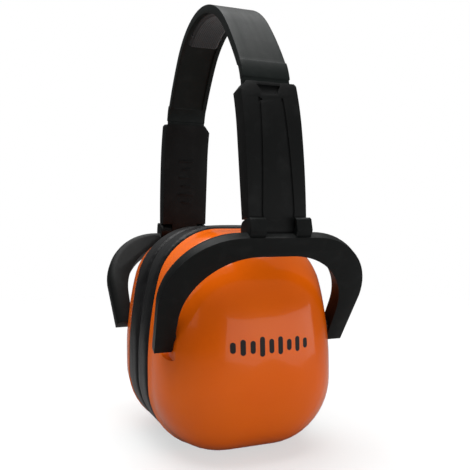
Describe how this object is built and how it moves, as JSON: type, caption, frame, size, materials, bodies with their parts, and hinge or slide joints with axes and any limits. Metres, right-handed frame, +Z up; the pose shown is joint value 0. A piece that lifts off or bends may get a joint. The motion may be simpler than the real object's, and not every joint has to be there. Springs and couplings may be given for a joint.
{
  "type": "foldable earmuff hearing protector",
  "caption": "Foldable earmuff with a sprung headband, sliding sleeves, hinged yokes and domed cups with soft cushions, worn over the ears against noise.",
  "frame": {"origin": "between the two cups, on the surface they stand on", "axes": "+X towards the wearer's right-hand cup as drawn, from ear to ear; -Y towards the front; +Z up to the crown of the headband"},
  "size_m": [0.1354, 0.0906, 0.203],
  "materials": {
    "band_plastic": "fine matt moulded plastic",
    "sleeve_plastic": "fine matt moulded plastic",
    "yoke_plastic": "satin moulded plastic",
    "inner_plastic": "matt moulded plastic",
    "shell_plastic": "glossy orange moulded plastic",
    "cushion_skin": "soft satin coated skin",
    "foam": "open-cell foam",
    "soft_pad": "matt soft rubber",
    "pin_steel": "plain steel pin"
  },
  "bodies": {
    "headband": {"headband_crown": "band_plastic", "crown_pad": "soft_pad"},
    "arm_right": {"headband_arm_right": "band_plastic"},
    "tail_right": {"headband_tail_right": "band_plastic"},
    "sleeve_right": {"adjuster_sleeve_right": "sleeve_plastic", "fold_pin_right": "pin_steel"},
    "yoke_right": {"yoke_right": "yoke_plastic"},
    "cup_right": {"cup_shell_right": "shell_plastic", "seal_plate_right": "inner_plastic", "cup_liner_right": "foam", "cushion_frame_right": "inner_plastic", "cushion_foam_right": "foam", "cushion_cover_right": "cushion_skin"},
    "arm_left": {"headband_arm_left": "band_plastic"},
    "tail_left": {"headband_tail_left": "band_plastic"},
    "sleeve_left": {"adjuster_sleeve_left": "sleeve_plastic", "fold_pin_left": "pin_steel"},
    "yoke_left": {"yoke_left": "yoke_plastic"},
    "cup_left": {"cup_shell_left": "shell_plastic", "seal_plate_left": "inner_plastic", "cup_liner_left": "foam", "cushion_frame_left": "inner_plastic", "cushion_foam_left": "foam", "cushion_cover_left": "cushion_skin"}
  },
  "joints": [
    {"name": "wear_flex_right", "type": "hinge", "parent": "headband", "child": "arm_right", "pos_m": [0.02628, 0, 0.19496], "axis": [0, -1, 0], "range_deg": [0, 20], "stiffness_Nm_per_rad": 4},
    {"name": "fold_flex_right", "type": "hinge", "parent": "arm_right", "child": "tail_right", "pos_m": [0.05066, 0, 0.16657], "axis": [0, -1, 0], "range_deg": [0, 42]},
    {"name": "slide_right", "type": "slide", "parent": "tail_right", "child": "sleeve_right", "axis": [0.1219, 0, -0.9925], "range_m": [0, 0.025]},
    {"name": "fold_right", "type": "hinge", "parent": "sleeve_right", "child": "yoke_right", "pos_m": [0.06059, 0, 0.09722], "axis": [0, 1, 0], "range_deg": [0, 70]},
    {"name": "tilt_right", "type": "hinge", "parent": "yoke_right", "child": "cup_right", "pos_m": [0.038, 0, 0.054], "axis": [0, -1, 0], "range_deg": [-6, 10], "deforming": ["cushion_cover_right", "cushion_foam_right"]},
    {"name": "wear_flex_left", "type": "hinge", "parent": "headband", "child": "arm_left", "pos_m": [-0.02628, 0, 0.19496], "axis": [0, 1, 0], "range_deg": [0, 20], "stiffness_Nm_per_rad": 4},
    {"name": "fold_flex_left", "type": "hinge", "parent": "arm_left", "child": "tail_left", "pos_m": [-0.05066, 0, 0.16657], "axis": [0, 1, 0], "range_deg": [0, 42]},
    {"name": "slide_left", "type": "slide", "parent": "tail_left", "child": "sleeve_left", "axis": [-0.1219, 0, -0.9925], "range_m": [0, 0.025]},
    {"name": "fold_left", "type": "hinge", "parent": "sleeve_left", "child": "yoke_left", "pos_m": [-0.06059, 0, 0.09722], "axis": [0, -1, 0], "range_deg": [0, 70]},
    {"name": "tilt_left", "type": "hinge", "parent": "yoke_left", "child": "cup_left", "pos_m": [-0.038, 0, 0.054], "axis": [0, 1, 0], "range_deg": [-6, 10], "deforming": ["cushion_cover_left", "cushion_foam_left"]}
  ],
  "couplings": [
    {"joint": "fold_flex_right", "follows": "fold_right", "ratio": 0.6},
    {"joint": "fold_flex_left", "follows": "fold_left", "ratio": 0.6},
    {"joint": "wear_flex_left", "follows": "wear_flex_right", "ratio": 1}
  ]
}
